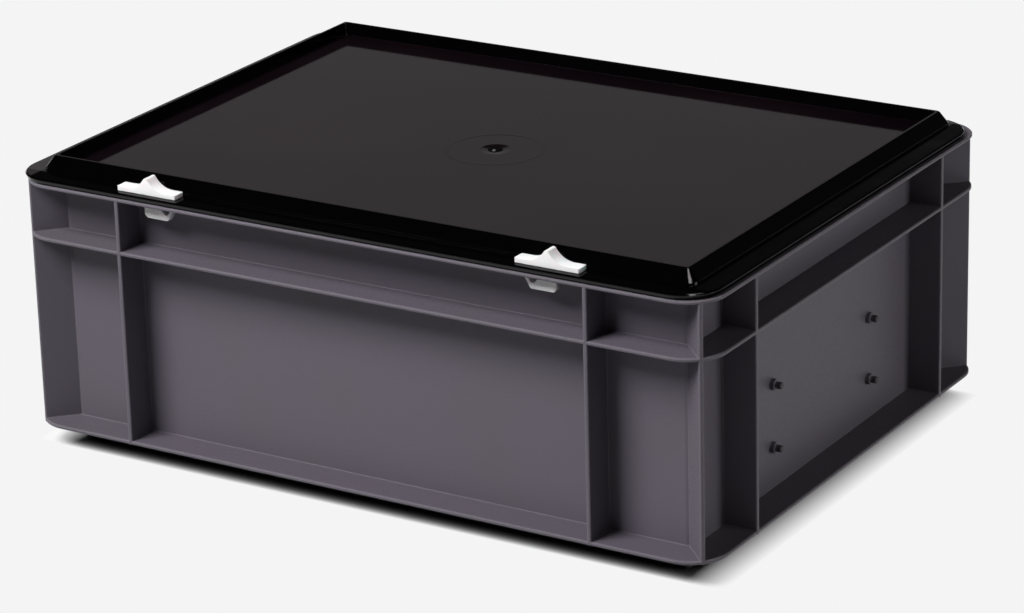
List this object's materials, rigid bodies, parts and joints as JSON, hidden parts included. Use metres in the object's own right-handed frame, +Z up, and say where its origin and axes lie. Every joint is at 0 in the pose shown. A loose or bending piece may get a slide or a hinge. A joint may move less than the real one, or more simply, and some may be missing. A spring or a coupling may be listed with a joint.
{
  "type": "euro stacking container with hinged lid",
  "caption": "Ribbed rectangular plastic stacking container with a flat hinged lid, a raised stacking ridge, sliding front latches and label pegs on one end.",
  "frame": {"origin": "middle of the container's standing face", "axes": "+X along the length towards the end with the label pegs, +Y towards the hinges, +Z up"},
  "size_m": [0.4016, 0.3, 0.1569],
  "materials": {
    "container": "fine grain",
    "lid": "semi-gloss",
    "latches": "satin",
    "hinge_clips": "satin",
    "hinge_pins": "brushed"
  },
  "bodies": {
    "container": {"container": "container", "hinge_clip_left": "hinge_clips", "hinge_clip_right": "hinge_clips", "hinge_pin_left": "hinge_pins", "hinge_pin_right": "hinge_pins"},
    "lid": {"lid": "lid"},
    "latch_left": {"latch_left": "latches"},
    "latch_right": {"latch_right": "latches"}
  },
  "joints": [
    {"name": "lid_hinge", "type": "hinge", "parent": "container", "child": "lid", "pos_m": [0, 0.1462, 0.1484], "axis": [-1, 0, 0], "range_deg": [0, 180]},
    {"name": "latch_left_slide", "type": "slide", "parent": "lid", "child": "latch_left", "axis": [1, 0, 0], "range_m": [0, 0.0096]},
    {"name": "latch_right_slide", "type": "slide", "parent": "lid", "child": "latch_right", "axis": [-1, 0, 0], "range_m": [-0.0026, 0.007]}
  ]
}
